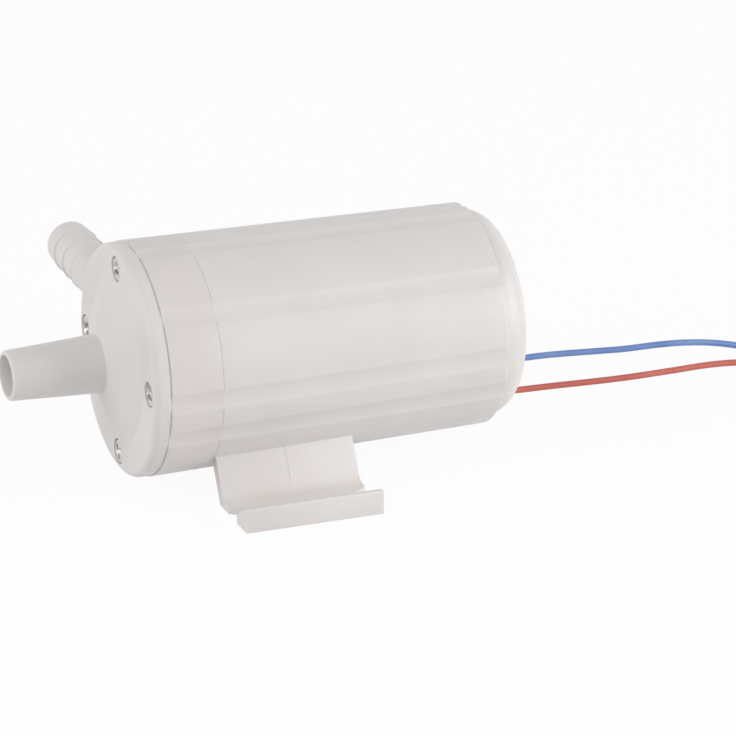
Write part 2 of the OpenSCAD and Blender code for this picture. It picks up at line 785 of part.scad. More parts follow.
module tube(p, r, sides, up = [0, 0, 1]) {
    last = len(p) - 1;
    corners = [for (i = [0:last]) each ring(p, i, r, sides, up)];
    walls = [for (i = [0:last - 1]) for (k = [0:sides - 1])
        let (a = i * sides + k, b = i * sides + (k + 1) % sides)
        each [[a, b, b + sides], [a, b + sides, a + sides]]];
    caps = [for (k = [1:sides - 2])
        each [[0, k + 1, k], [last * sides, last * sides + k, last * sides + k + 1]]];
    polyhedron(points = corners, faces = concat(walls, caps));
}

// A smooth curve through a list of points
function curve_at(a, b, c, d, t) =
    (2 * b + (c - a) * t + (2 * a - 5 * b + 4 * c - d) * t * t
        + (3 * b - a - 3 * c + d) * t * t * t) / 2;
function smooth(p, steps) = concat(
    [for (i = [0:len(p) - 2]) for (j = [0:steps - 1])
        curve_at(p[max(i - 1, 0)], p[i], p[i + 1], p[min(i + 2, len(p) - 1)], j / steps)],
    [p[len(p) - 1]]);

// Leads inside the body: along from a terminal, down in two bends and out through a grommet
module inner_lead(side) {
    tab_end = plate_back + tab_len - foot_mid;
    face_x = grommet_face - foot_mid;
    bend_from = tab_end + joint_gap + wire_r;
    bend_to = face_x - grommet_len - wire_r;
    bend_r = min(bend_to - bend_from, lead_drop) / 2;
    bends = concat(
        [for (a = [0:bend_step:90]) [bend_from + bend_r * sin(a), bend_r * (1 - cos(a))]],
        [for (a = [90:-bend_step:0]) [bend_to - bend_r * sin(a), lead_drop - bend_r * (1 - cos(a))]]);
    tube(concat(
        [[tab_end + joint_gap, side * tab_y, axis_h]],
        [for (b = bends)
            [b[0], side * (tab_y + (lead_y - tab_y) * b[1] / lead_drop), axis_h - b[1]]],
        [[face_x, side * lead_y, lead_h]]
    ), wire_r, lead_sides, [0, 1, 0]);
}

module red_inner_lead() color(red) inner_lead(-1);

module blue_inner_lead() color(blue) inner_lead(1);

// Free leads outside the body
module lead_red() color(red) tube(smooth(red_route, lead_steps), wire_r, lead_sides);

module lead_blue() color(blue) tube(smooth(blue_route, lead_steps), wire_r, lead_sides);

// Coil: in towards the middle on the surface, up a layer, and out again
function eased(t) = let (s = max(0, min(1, t))) s * s * (3 - 2 * s);
function coil_at(t, side) =
    let (r = coil_r - coil_pitch * min(t, coil_turns - t), a = 360 * t)
    [coil_x + r * sin(a), side * (coil_y + coil_r - r * cos(a)),
        coil_h + coil_layer * eased(2 * t - coil_turns + 1 / 2)];
function coil_path(side) = concat(
    [coil_at(0, side) - [wire_d, 0, 0]],
    [for (i = [0:coil_turns * coil_rings]) coil_at(i / coil_rings, side)],
    [coil_at(coil_turns, side) + [wire_d, 0, 0]]);

module lead_red_coil() color(red) tube(coil_path(-1), wire_r, coil_sides);

module lead_blue_coil() color(blue) tube(coil_path(1), wire_r, coil_sides);

// Tinned ends of the leads
module bare_end(side) translate(coil_at(coil_turns, side) + [wire_d, 0, 0])
    rotate([0, 90, 0]) cylinder(r = bare_r, h = bare_len, $fn = round_fn);

module lead_red_end() color(tin) bare_end(-1);

module lead_blue_end() color(tin) bare_end(1);

// Least gap of a coil to itself, and the length of each lead
function path_len(p, i = 0) = i >= len(p) - 1 ? 0 : norm(p[i + 1] - p[i]) + path_len(p, i + 1);
coil_points = coil_path(-1);
coil_gap = min([for (i = [0:len(coil_points) - 1]) for (j = [i + coil_rings / 2:1:len(coil_points) - 1])
    norm(coil_points[i] - coil_points[j])]) - wire_d;
echo(coil_gap = coil_gap);
echo(red_len = path_len(smooth(red_route, lead_steps)) + path_len(coil_points) + bare_len);
echo(blue_len = path_len(smooth(blue_route, lead_steps)) + path_len(coil_points) + bare_len);

front_cover();
cover_screws();
cover_seal();
pump_housing();
housing_gasket();
impeller();
shaft_seal();
motor_housing();
right_foot();
left_foot();
motor_can();
motor_magnets();
motor_shaft();
rotor_core();
rotor_windings();
commutator();
front_bearing();
rear_bearing();
brush_plate();
brushes();
brush_springs();
terminals();
red_inner_lead();
blue_inner_lead();
lead_grommets();
lead_red();
lead_red_coil();
lead_red_end();
lead_blue();
lead_blue_coil();
lead_blue_end();
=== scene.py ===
import math

import bmesh
import bpy
import numpy as np
from mathutils import Matrix, Vector


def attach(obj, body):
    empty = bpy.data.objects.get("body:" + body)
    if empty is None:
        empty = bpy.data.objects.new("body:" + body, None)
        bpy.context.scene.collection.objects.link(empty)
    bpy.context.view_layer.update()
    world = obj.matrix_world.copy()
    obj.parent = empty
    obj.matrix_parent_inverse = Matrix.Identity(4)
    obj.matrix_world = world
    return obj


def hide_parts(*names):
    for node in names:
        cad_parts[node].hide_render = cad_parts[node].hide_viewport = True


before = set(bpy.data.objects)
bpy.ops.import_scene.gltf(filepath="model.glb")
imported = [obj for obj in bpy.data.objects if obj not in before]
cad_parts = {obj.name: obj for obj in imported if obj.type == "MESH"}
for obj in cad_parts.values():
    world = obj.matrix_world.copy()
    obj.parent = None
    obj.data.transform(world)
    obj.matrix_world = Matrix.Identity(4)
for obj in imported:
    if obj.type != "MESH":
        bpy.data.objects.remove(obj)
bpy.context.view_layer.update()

# Inline water pump. Sizes are in millimetres, measured along the pump axis from the
# seam behind the front cover, and place() sets them into the part's own frame in metres.
MM = 0.001
SEAM_X = -27.3
AXIS_H = 27.1

BODY_R = 25.0
DRAFT = math.radians(1)
RING_LEN = 11.6
FLUTED_LEN = 75.5
BODY_LEN = 82.0
REAR_STEP = 1.4
REAR_ROUND = 6.3
SEAM_GAP = 0.25
SEAM_DEPTH = 0.4
WALL = 2.6
FLUTE_DEPTH = 0.4
FLUTE_R = 8.0
FLUTE_ANGLES = (-24, -3.5, 39, 81.5)
SCREW_CIRCLE_R = 20.5
SCREW_ANGLES = (0, 90, 180, 270)
LEAD_Y = 7.8
LEAD_DROP = 16.0
WIRE_D = 1.4
GROMMET_R = 1.71
GROMMET_FACE, GROMMET_LEN = 81.2, 3.8
OUTLET_X = 1.0
OUTLET_RISE = 9.9
OUTLET_REACH = 44.8


def place(x, y, z):
    """A point measured from the seam and the pump axis, in the part's frame."""
    return Vector(((x + SEAM_X) * MM, y * MM, (z + AXIS_H) * MM))


def body_r_at(x):
    """Radius of the drafted body at a distance behind the seam."""
    return BODY_R - x * math.tan(DRAFT)


# Camera

PICTURE_SIDE = 736
FOCAL_PIXELS = 7059.9
SENSOR_MM = 36


def set_up_camera():
    """A long lens from the front left, a little above the pump, as in the photograph."""
    azimuth, elevation, distance = math.radians(-20.6), math.radians(21.8), 1.5
    aim = Vector((0.02542, 0, 0.01755))
    back = Vector((
        math.sin(azimuth) * math.cos(elevation),
        -math.cos(azimuth) * math.cos(elevation),
        math.sin(elevation),
    ))
    data = bpy.data.cameras.new("product_camera")
    data.sensor_width = SENSOR_MM
    data.lens = FOCAL_PIXELS / PICTURE_SIDE * SENSOR_MM
    data.clip_start, data.clip_end = 0.05, 20
    camera = bpy.data.objects.new("product_camera", data)
    camera.location = aim + back * distance
    camera.rotation_mode = "QUATERNION"
    camera.rotation_quaternion = (-back).to_track_quat("-Z", "Y")
    bpy.context.scene.collection.objects.link(camera)
    bpy.context.scene.camera = camera


set_up_camera()


# Materials

class NodeTools:
    """Adds nodes to a tree. Each input takes a plain value or another node's output."""

    def __init__(self, tree):
        self.tree = tree

    def feed(self, socket, value):
        if isinstance(value, bpy.types.NodeSocket):
            self.tree.links.new(value, socket)
        else:
            socket.default_value = value

    def node(self, kind, inputs=None, **settings):
        made = self.tree.nodes.new(kind)
        for key, value in settings.items():
            setattr(made, key, value)
        for key, value in (inputs or {}).items():
            self.feed(made.inputs[key], value)
        return made

    def math(self, operation, *values):
        made = self.node("ShaderNodeMath", operation=operation)
        for socket, value in zip(made.inputs, values):
            self.feed(socket, value)
        return made.outputs["Value"]

    def range(self, value, low, high, to_low=0.0, to_high=1.0):
        return self.node("ShaderNodeMapRange", {
            "Value": value, "From Min": low, "From Max": high,
            "To Min": to_low, "To Max": to_high}).outputs["Result"]

    def seen_directly(self):
        """1 for what the camera sees itself, in a reflection or through glass, else 0."""
        path = self.node("ShaderNodeLightPath").outputs
        return self.math("MAXIMUM", path["Is Camera Ray"], self.math(
            "MAXIMUM", path["Is Glossy Ray"], path["Is Transmission Ray"]))


class Finish(NodeTools):
    """One material, with its pattern on object coordinates in metres."""

    def __init__(self, name):
        self.material = bpy.data.materials.new(name)
        self.material.use_nodes = True
        super().__init__(self.material.node_tree)
        self.tree.nodes.clear()
        self.output = self.node("ShaderNodeOutputMaterial")
        self.shader = self.node("ShaderNodeBsdfPrincipled")
        self.tree.links.new(self.shader.outputs["BSDF"], self.output.inputs["Surface"])
        self.place = self.node("ShaderNodeTexCoord").outputs["Object"]

    def set(self, **values):
        for key, value in values.items():
            self.feed(self.shader.inputs[key.replace("_", " ")], value)

    def stretched(self, scale):
        return self.node("ShaderNodeMapping", {
            "Vector": self.place, "Scale": scale}).outputs["Vector"]

    def noise(self, scale, detail=2.0, roughness=0.5, at=None):
        return self.node("ShaderNodeTexNoise", {
            "Vector": at or self.place, "Scale": scale, "Detail": detail,
            "Roughness": roughness}).outputs["Fac"]

    def mix(self, share, a, b):
        return self.node("ShaderNodeMix", {0: share, 6: a, 7: b}, data_type="RGBA").outputs[2]

    def bump(self, height, depth, strength=1.0, under=None):
        inputs = {"Height": height, "Distance": depth, "Strength": strength}
        if under:
            inputs["Normal"] = under
        return self.node("ShaderNodeBump", inputs).outputs["Normal"]


def tone(r, g, b):
    """A colour read as 0 to 255 screen values, as the linear colour that a shader takes."""
    def linear(value):
        value /= 255
        return value / 12.92 if value <= 0.04045 else ((value + 0.055) / 1.055) ** 2.4
    return (linear(r), linear(g), linear(b), 1.0)


def moulded_plastic(name, light, dark, gloss=0.42, depth=0.08):
    """Satin moulded plastic: fine eroded texture, slow waves of shrinkage and faint clouding."""
    finish = Finish(name)
    clouds = finish.range(finish.noise(55, 3, 0.55), 0.3, 0.7)
    specks = finish.range(finish.noise(900, 2, 0.6), 0.62, 0.8)
    colour = finish.mix(clouds, dark, light)
    colour = finish.mix(finish.math("MULTIPLY", specks, 0.12), colour, tone(190, 184, 176))
    waves = finish.bump(finish.noise(90, 1, 0.4), 0.00012, 0.35)
    grain = finish.bump(finish.noise(2600, 2, 0.6), 0.00002, 0.35, waves)
    rough = finish.range(finish.noise(160, 2), 0.3, 0.7, gloss - 0.04, gloss + 0.05)
    finish.set(Base_Color=colour, Roughness=rough, Normal=grain, IOR=1.5,
               Subsurface_Weight=depth, Subsurface_Scale=0.0018)
    finish.shader.inputs["Subsurface Radius"].default_value = (1.0, 0.9, 0.8)
    return finish.material


def worked_metal(name, colour, dull, rough, lines=(1, 1, 1)):
    """Metal with fine marks from drawing or turning, and slightly duller patches."""
    finish = Finish(name)
    marks = finish.noise(1500, 3, 0.65, at=finish.stretched(lines))
    patches = finish.range(finish.noise(260, 3), 0.35, 0.7)
    finish.set(
        Base_Color=finish.mix(finish.math("MULTIPLY", patches, 0.5), colour, dull),
        Metallic=1.0,
        Roughness=finish.range(marks, 0.3, 0.7, rough - 0.06, rough + 0.1),
        Normal=finish.bump(marks, 0.00001, 0.4),
    )
    return finish.material


def soft_rubber(name, colour, dusty):
    """Matt rubber with a light bloom of dust."""
    finish = Finish(name)
    dust = finish.range(finish.noise(420, 4, 0.6), 0.45, 0.75)
    finish.set(
        Base_Color=finish.mix(finish.math("MULTIPLY", dust, 0.5), colour, dusty),
        Roughness=0.68,
        Specular_IOR_Level=0.35,
        Normal=finish.bump(finish.noise(3200, 2), 0.00002, 0.5),
    )
    return finish.material


def lead_insulation(name, colour, faded):
    """Extruded insulation: satin, with lines along the lead and small changes of tone."""
    finish = Finish(name)
    along = finish.noise(700, 2, 0.5, at=finish.stretched((0.06, 1, 1)))
    tones = finish.range(finish.noise(110, 2), 0.35, 0.7)
    finish.set(
        Base_Color=finish.mix(tones, colour, faded),
        Roughness=finish.range(along, 0.3, 0.7, 0.38, 0.5),
        Normal=finish.bump(along, 0.00003, 0.35),
        Subsurface_Weight=0.05,
        Subsurface_Scale=0.0006,
    )
    return finish.material


def laminated_iron(name):
    """Stacked sheet iron: bands half a millimetre wide across the axis."""
    finish = Finish(name)
    along = finish.node("ShaderNodeSeparateXYZ", {"Vector": finish.place}).outputs["X"]
    bands = finish.math("PINGPONG", along, 0.00025)
    groove = finish.range(bands, 0, 0.00008)
    rust = finish.range(finish.noise(500, 4, 0.65), 0.55, 0.75)
    colour = finish.mix(groove, tone(46, 46, 50), tone(128, 129, 134))
    finish.set(
        Base_Color=finish.mix(finish.math("MULTIPLY", rust, 0.25), colour, tone(120, 88, 66)),
        Metallic=0.85,
        Roughness=0.46,
        Normal=finish.bump(groove, 0.00004, 0.7),
    )
    return finish.material


def wound_copper(name):
    """Enamelled wire laid side by side: fine ribs that run over the coil heads, with painted shade
    that darkens the copper in the grooves between the turns.
    """
    finish = Finish(name)
    strands = finish.node("ShaderNodeTexWave", {
        "Vector": finish.place, "Scale": 620, "Distortion": 1.4, "Detail": 1.0,
        "Detail Scale": 0.6}, bands_direction="DIAGONAL").outputs["Fac"]
    # painted shade: the copper turns dark in the grooves between the ribs
    finish.set(
        Base_Color=finish.mix(strands, tone(96, 40, 18), tone(196, 112, 62)),
        Metallic=0.8,
        Roughness=0.3,
        Coat_Weight=0.5,
        Coat_Roughness=0.15,
        Normal=finish.bump(strands, 0.00012, 0.8),
    )
    return finish.material


case_white = moulded_plastic("case_white", tone(230, 226.5, 224.5), tone(226, 222, 219.5), 0.34)
ring_white = moulded_plastic("ring_white", tone(229, 223, 221), tone(224.5, 218, 216), 0.36)
cover_white = moulded_plastic(
    "cover_white", tone(231, 227, 225), tone(227, 222, 219.5), 0.42, depth=0.3)
foot_white = moulded_plastic("foot_white", tone(234, 230, 227.5), tone(230, 225, 222), 0.44)
screw_steel = worked_metal("screw_steel", tone(206, 206, 204), tone(160, 160, 158), 0.24)
# painted shade: a dark steel for the faces deep in the screws' cross recesses
recess_steel = worked_metal("recess_steel", tone(104, 104, 104), tone(72, 72, 72), 0.4)
red_pvc = lead_insulation("red_pvc", tone(196, 92, 82), tone(204, 112, 102))
blue_pvc = lead_insulation("blue_pvc", tone(104, 134, 196), tone(124, 154, 208))
tinned_copper = worked_metal("tinned_copper", tone(208, 206, 200), tone(150, 142, 130), 0.3)

INNER_FINISHES = {
    "cover_seal": soft_rubber("seal_rubber", tone(40, 40, 42), tone(92, 90, 88)),
    "housing_gasket": soft_rubber("gasket_rubber", tone(52, 52, 54), tone(98, 96, 94)),
    "shaft_seal": soft_rubber("lip_rubber", tone(34, 34, 36), tone(86, 84, 82)),
    "lead_grommets": soft_rubber("grommet_rubber", tone(206, 200, 190), tone(178, 172, 162)),
    "impeller": moulded_plastic("impeller_black", tone(46, 46, 48), tone(36, 36, 38), 0.35),
    "motor_can": worked_metal(
        "drawn_can_steel", tone(176, 178, 180), tone(128, 130, 134), 0.34, (0.05, 1, 1)),
    "motor_magnets": moulded_plastic("pressed_ferrite", tone(66, 66, 70), tone(48, 48, 52), 0.6),
    "motor_shaft": worked_metal(
        "ground_shaft_steel", tone(200, 201, 204), tone(160, 162, 166), 0.18, (1, 0.1, 0.1)),
    "rotor_core": laminated_iron("laminated_iron"),
    "rotor_windings": wound_copper("wound_copper"),
    "commutator": worked_metal(
        "commutator_copper", tone(202, 128, 84), tone(120, 74, 50), 0.28, (0.05, 1, 1)),
    "front_bearing": worked_metal("front_bush_bronze", tone(176, 138, 84), tone(120, 92, 56), 0.4),
    "rear_bearing": worked_metal("rear_bush_bronze", tone(176, 138, 84), tone(120, 92, 56), 0.4),
    "brush_plate": moulded_plastic("brush_plate_cream", tone(232, 224, 200), tone(222, 213, 188)),
    "brushes": moulded_plastic("brush_carbon", tone(54, 54, 56), tone(38, 38, 40), 0.5),
    "brush_springs": worked_metal(
        "spring_steel", tone(150, 152, 158), tone(96, 98, 106), 0.3, (1, 0.1, 1)),
    "terminals": worked_metal("terminal_brass", tone(208, 178, 110), tone(160, 128, 70), 0.3),
    "red_inner_lead": red_pvc,
    "blue_inner_lead": blue_pvc,
}
for node_name, inner_finish in INNER_FINISHES.items():
    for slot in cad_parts[node_name].material_slots:
        slot.link = "OBJECT"
        slot.material = inner_finish


# Leads. Their points are in the part's own frame, in millimetres.

RED_ROUTE = [
    (53.9, -7.8, 11.1), (58, -7.8, 11), (64, -7.9, 10.9), (70, -8, 10.75),
    (76, -8.1, 10.6), (82, -8.1, 10.5), (88, -8, 10.5), (94, -7.9, 10.55),
    (100, -7.8, 10.6), (106, -7.8, 10.35), (111, -7.8, 9.6), (116, -7.8, 8),
    (121, -7.8, 5.8), (126, -7.8, 3.4), (130.5, -7.8, 1.7), (135, -7.8, 0.85),
    (140.1, -7.8, 0.71),
]
BLUE_ROUTE = [
    (53.9, 7.8, 11.1), (58, 7.8, 11.3), (64, 7.8, 11.5), (70, 7.7, 11.45),
    (76, 7.6, 11.15), (82, 7.6, 10.75), (88, 7.6, 10.4), (94, 7.7, 10.3),
    (100, 7.8, 10), (106, 7.8, 9.3), (111, 7.8, 8.3), (116, 7.8, 6.85),
    (121, 7.8, 4.85), (126, 7.8, 2.85), (130.5, 7.8, 1.4), (135, 7.8, 0.8),
    (140.1, 7.8, 0.71),
]
COIL_X, COIL_Y, COIL_H, COIL_TURNS = 142, 7.8, 0.71, 3
COIL_R, COIL_PITCH, COIL_LAYER, COIL_RINGS = 11.9, 2.4, 2.4, 24
BARE_LEN = 6.0


def coil_point(t, side):
    """A place t turns along: in on the surface, up a layer halfway, and out again."""
    r = COIL_R - COIL_PITCH * min(t, COIL_TURNS - t)
    a = math.tau * t
    s = max(0.0, min(1.0, 2 * t - COIL_TURNS + 0.5))
    return (
        COIL_X + r * math.sin(a),
        side * (COIL_Y + COIL_R - r * math.cos(a)),
        COIL_H + COIL_LAYER * s * s * (3 - 2 * s),
    )


def smoothed(points, steps=2):
    """Points on the smooth curve through the given ones."""
    p = [np.array(v, float) for v in points]
    p = [2 * p[0] - p[1], *p, 2 * p[-1] - p[-2]]
    out = []
    for a, b, c, d in zip(p, p[1:], p[2:], p[3:]):
        for k in range(steps):
            t = k / steps
            out.append(0.5 * (2 * b + (c - a) * t + (2 * a - 5 * b + 4 * c - d) * t * t
                              + (3 * b - a - 3 * c + d) * t ** 3))
    return out + [p[-2]]


def lead_path(route, side):
    """The whole lead: its route, its coil, and a short straight end."""
    turns = [coil_point(i / COIL_RINGS, side) for i in range(COIL_TURNS * COIL_RINGS + 1)]
    end = turns[-1]
    return smoothed(route) + [np.array(v, float) for v in turns] + [
        np.array((end[0] + WIRE_D, end[1], end[2]))]


def lay_lead(colour, route, side, finish):
    """One insulated lead from the closed end to its coil, with its tinned strands."""
    points = lead_path(route, side)
    curve = bpy.data.curves.new(f"{colour}_lead", "CURVE")
    curve.dimensions = "3D"
    curve.bevel_depth = WIRE_D / 2 * MM
    curve.bevel_resolution = 5
    curve.resolution_u = 3
    curve.use_fill_caps = True
    spline = curve.splines.new("BEZIER")
    spline.bezier_points.add(len(points) - 1)
    for knot, point in zip(spline.bezier_points, points):
        knot.co = Vector(point) * MM
        knot.handle_left_type = knot.handle_right_type = "AUTO"
    curve.materials.append(finish)
    lead = bpy.data.objects.new(f"{colour}_lead", curve)
    bpy.context.scene.collection.objects.link(lead)
    strands = tinned_strands(colour, points[-1])
    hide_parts(f"lead_{colour}", f"lead_{colour}_coil")
    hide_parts(f"lead_{colour}_end")
    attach(lead, "pump_body")
    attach(strands, "pump_body")


def tinned_strands(colour, start):
    """Six fine wires twisted round a seventh and dipped in solder."""
    strand_r, lay_r, turns, steps, sides = 0.13, 0.26, 1.1, 16, 8
    mesh = bmesh.new()
    for k in range(7):
        rings = []
        for i in range(steps + 1):
            share = i / steps
            angle = math.tau * (turns * share + k / 6)
            reach = 0.0 if k == 6 else lay_r
            centre = np.array(start) + [
                BARE_LEN * share, reach * math.cos(angle), reach * math.sin(angle)]
            swell = strand_r * (1 - 0.35 * share ** 6)
            rings.append([mesh.verts.new(Vector(centre + [
                0, swell * math.cos(math.tau * s / sides),
                swell * math.sin(math.tau * s / sides)]) * MM) for s in range(sides)])
        for a, b in zip(rings, rings[1:]):
            for s in range(sides):
                mesh.faces.new((a[s], b[s], b[(s + 1) % sides], a[(s + 1) % sides]))
        mesh.faces.new(rings[0])
        mesh.faces.new(rings[-1][::-1])
    bmesh.ops.recalc_face_normals(mesh, faces=mesh.faces)
    return finished_piece(mesh, f"{colour}_lead_strands", tinned_copper, smooth=50)


# Building meshes

def finished_piece(mesh, name, material, smooth=None):
    """A bmesh as an object at the origin with its material."""
    data = bpy.data.meshes.new(name)
    mesh.to_mesh(data)
    mesh.free()
    data.materials.append(material)
    piece = bpy.data.objects.new(name, data)
    bpy.context.scene.collection.objects.link(piece)
    if smooth is not None:
        soften(piece, smooth)
    return piece


def soften(piece, angle):
    """Smooth shading, but for edges sharper than an angle in degrees."""
    mesh = bmesh.new()
    mesh.from_mesh(piece.data)
    limit = math.radians(angle)
    for face in mesh.faces:
        face.smooth = True
    for edge in mesh.edges:
        edge.smooth = len(edge.link_faces) == 2 and edge.calc_face_angle(0) < limit
    mesh.to_mesh(piece.data)
    mesh.free()


# the share of an edge that the rounding of a corner takes at most, where the corner at its
# other end is rounded too, and where it is sharp
EDGE_SHARED, EDGE_ALONE = 0.48, 0.97
NEARLY_STRAIGHT = math.radians(88)


def rounded(corners, steps=5):
    """An outline of [distance, radius, corner radius] with each corner rounded."""
    out = []
    count = len(corners)
    for i, (x, r, radius) in enumerate(corners):
        here = np.array((x, r), float)
        if radius == 0 or i in (0, count - 1):
            out.append(here)
            continue
        before = np.array(corners[i - 1][:2], float) - here
        after = np.array(corners[i + 1][:2], float) - here
        a, b = before / np.linalg.norm(before), after / np.linalg.norm(after)
        half = math.acos(max(-1, min(1, float(a @ b)))) / 2
        if half > NEARLY_STRAIGHT:
            out.append(here)
            continue
        room = [EDGE_SHARED if corners[j][2] else EDGE_ALONE for j in (i - 1, i + 1)]
        trim = min(radius / math.tan(half), room[0] * np.linalg.norm(before),
                   room[1] * np.linalg.norm(after))
        real = trim * math.tan(half)
        middle = (a + b) / np.linalg.norm(a + b)
        centre = here + middle * real / math.sin(half)
        first, last = here + a * trim - centre, here + b * trim - centre
        sweep = math.atan2(first[0] * last[1] - first[1] * last[0], float(first @ last))
        for k in range(steps + 1):
            t = sweep * k / steps
            out.append(centre + np.array((
                first[0] * math.cos(t) - first[1] * math.sin(t),
                first[0] * math.sin(t) + first[1] * math.cos(t))))
    return out


def divided(points, longest):
    """Extra points on an outline's long straight stretches."""
    out = [points[0]]
    for a, b in zip(points, points[1:]):
        count = max(1, math.ceil(float(np.linalg.norm(b - a)) / longest))
        out += [a + (b - a) * k / count for k in range(1, count + 1)]
    return out


class ShapeTree(NodeTools):
    """A geometry tree with named inputs, which ends in a solid of one material."""

    def __init__(self, name, inputs):
        super().__init__(bpy.data.node_groups.new(name, "GeometryNodeTree"))
        face = self.tree.interface
        face.new_socket("Geometry", in_out="INPUT", socket_type="NodeSocketGeometry")
        for label, kind, value in inputs:
            socket = face.new_socket(label, in_out="INPUT", socket_type=kind)
            if value is not None:
                socket.default_value = value
        face.new_socket("Geometry", in_out="OUTPUT", socket_type="NodeSocketGeometry")
        self.given = self.node("NodeGroupInput").outputs
        self.result = self.node("NodeGroupOutput").inputs[0]

    def finish(self, geometry):
        real = self.node("GeometryNodeRealizeInstances", {"Geometry": geometry})
        coloured = self.node("GeometryNodeSetMaterial", {
            "Geometry": real.outputs[0], "Material": self.given["Finish"]})
        self.tree.links.new(coloured.outputs[0], self.result)
        return self.tree


def run_tree(piece, tree, values):
    """Puts a tree on a piece, sets its named inputs, and keeps the result as a plain mesh."""
    modifier = piece.modifiers.new(tree.name, "NODES")
    modifier.node_group = tree
    names = {item.name: item.identifier for item in tree.interface.items_tree
             if item.item_type == "SOCKET" and item.in_out == "INPUT"}
    for label, value in values.items():
        modifier[names[label]] = value
    return keep_result(piece)


def keep_result(piece):
    """Turns a piece with its modifiers into a plain mesh."""
    graph = bpy.context.evaluated_depsgraph_get()
    made = bpy.data.meshes.new_from_object(piece.evaluated_get(graph), depsgraph=graph)
    piece.modifiers.clear()
    piece.data = made
    return piece


# Turned and fluted mouldings

FLUTE_LABELS = ("First Flute", "Second Flute", "Third Flute", "Fourth Flute")
FLUTE_REACH = 0.2  # radians to either side, past which a flute sinks nothing
FLUTE_SOFTNESS = 0.06
NO_FLUTES = -0.05  # a depth that keeps every hollow clear of a plain piece
POLE_WELD, SEAM_WELD = 1e-6, 1e-7


def turned_tree():
    """Turns an outline about the pump axis, and sinks the flutes into what lies outside them."""
    tree = ShapeTree("turned_moulding", [
        ("Steps Around", "NodeSocketInt", 96),
        ("Body Radius", "NodeSocketFloat", 0.025),
        ("Draft", "NodeSocketFloat", DRAFT),
        ("Flute Depth", "NodeSocketFloat", 0.0),
        ("Flute Radius", "NodeSocketFloat", 0.008),
        ("Edge Softness", "NodeSocketFloat", 0.0),
        *((label, "NodeSocketFloat", 0.0) for label in FLUTE_LABELS),
        ("Finish", "NodeSocketMaterial", None),
    ])
    given = tree.given
    count = tree.node("GeometryNodeAttributeDomainSize", {"Geometry": given["Geometry"]})
    around = tree.math("ADD", given["Steps Around"], 1)
    grid = tree.node("GeometryNodeMeshGrid", {
        "Size X": 1.0, "Size Y": 1.0,
        "Vertices X": count.outputs["Point Count"], "Vertices Y": around})
    spot = tree.node("ShaderNodeSeparateXYZ", {
        "Vector": tree.node("GeometryNodeInputPosition").outputs[0]})
    last = tree.math("SUBTRACT", count.outputs["Point Count"], 1)
    index = tree.math("ROUND", tree.math("MULTIPLY", tree.math(
        "ADD", spot.outputs["X"], 0.5), last))
    outline = tree.node("GeometryNodeSampleIndex", {
        "Geometry": given["Geometry"],
        "Value": tree.node("GeometryNodeInputPosition").outputs[0],
        "Index": index}, data_type="FLOAT_VECTOR", domain="POINT")
    point = tree.node("ShaderNodeSeparateXYZ", {"Vector": outline.outputs[0]})
    x, r = point.outputs["X"], point.outputs["Z"]
    turn = tree.math("MULTIPLY", tree.math("ADD", spot.outputs["Y"], 0.5), math.tau)
    height, reach = tree.math("SINE", turn), tree.math("COSINE", turn)
    # the far side mirrors the near side, so the angle is read as height above the axis
    folded = tree.math("ARCSINE", tree.math("MAXIMUM", tree.math("MINIMUM", height, 1.0), -1.0))
    radius_here = tree.math("SUBTRACT", given["Body Radius"], tree.math(
        "MULTIPLY", x, tree.math("TANGENT", given["Draft"])))
    hollow_centre = tree.math("SUBTRACT", tree.math(
        "ADD", radius_here, given["Flute Radius"]), given["Flute Depth"])
    # each flute is a round hollow, and past its reach a metre is added to keep it clear
    surface = r
    for label in FLUTE_LABELS:
        away = tree.math("ABSOLUTE", tree.math("SUBTRACT", folded, given[label]))
        across = tree.math("MULTIPLY", hollow_centre, tree.math("SINE", away))
        along = tree.math("MULTIPLY", hollow_centre, tree.math("COSINE", away))
        inside = tree.math("MAXIMUM", tree.math("SUBTRACT", tree.math(
            "POWER", given["Flute Radius"], 2.0), tree.math("MULTIPLY", across, across)), 0.0)
        hollow = tree.math("SUBTRACT", along, tree.math("SQRT", inside))
        far = tree.math("GREATER_THAN", away, FLUTE_REACH)
        surface = tree.math("SMOOTH_MIN", surface, tree.math("ADD", hollow, far),
                             given["Edge Softness"])
    turned = tree.node("ShaderNodeCombineXYZ", {
        "X": x, "Y": tree.math("MULTIPLY", tree.math("MULTIPLY", surface, reach), -1.0),
        "Z": tree.math("MULTIPLY", surface, height)})
    shaped = tree.node("GeometryNodeSetPosition", {
        "Geometry": grid.outputs["Mesh"], "Position": turned.outputs[0]})
    closed = tree.node("GeometryNodeMergeByDistance", {
        "Geometry": shaped.outputs[0], "Distance": POLE_WELD})
    return tree.finish(closed.outputs[0])


TURNED = turned_tree()


def turned_piece(name, outline, material, steps=240, fluted=False, longest=6.0):
    """A closed solid turned from an outline of [distance, radius] in millimetres."""
    points = divided([np.array(p[:2], float) for p in outline], longest)
    data = bpy.data.meshes.new(name)
    data.from_pydata([(p[0] * MM, 0, p[1] * MM) for p in points],
                     [(i, i + 1) for i in range(len(points) - 1)], [])
    piece = bpy.data.objects.new(name, data)
    bpy.context.scene.collection.objects.link(piece)
    values = {"Steps Around": steps, "Body Radius": BODY_R * MM, "Finish": material}
    if fluted:
        values |= {"Flute Depth": FLUTE_DEPTH * MM, "Flute Radius": FLUTE_R * MM,
                   "Edge Softness": FLUTE_SOFTNESS * MM}
        values |= {label: math.radians(e) for label, e in zip(FLUTE_LABELS, FLUTE_ANGLES)}
    else:
        values["Flute Depth"] = NO_FLUTES
    run_tree(piece, TURNED, values)
    mesh = bmesh.new()
    mesh.from_mesh(piece.data)
    bmesh.ops.remove_doubles(mesh, verts=mesh.verts, dist=SEAM_WELD)
    bmesh.ops.recalc_face_normals(mesh, faces=mesh.faces)
    mesh.to_mesh(piece.data)
    mesh.free()
    return piece


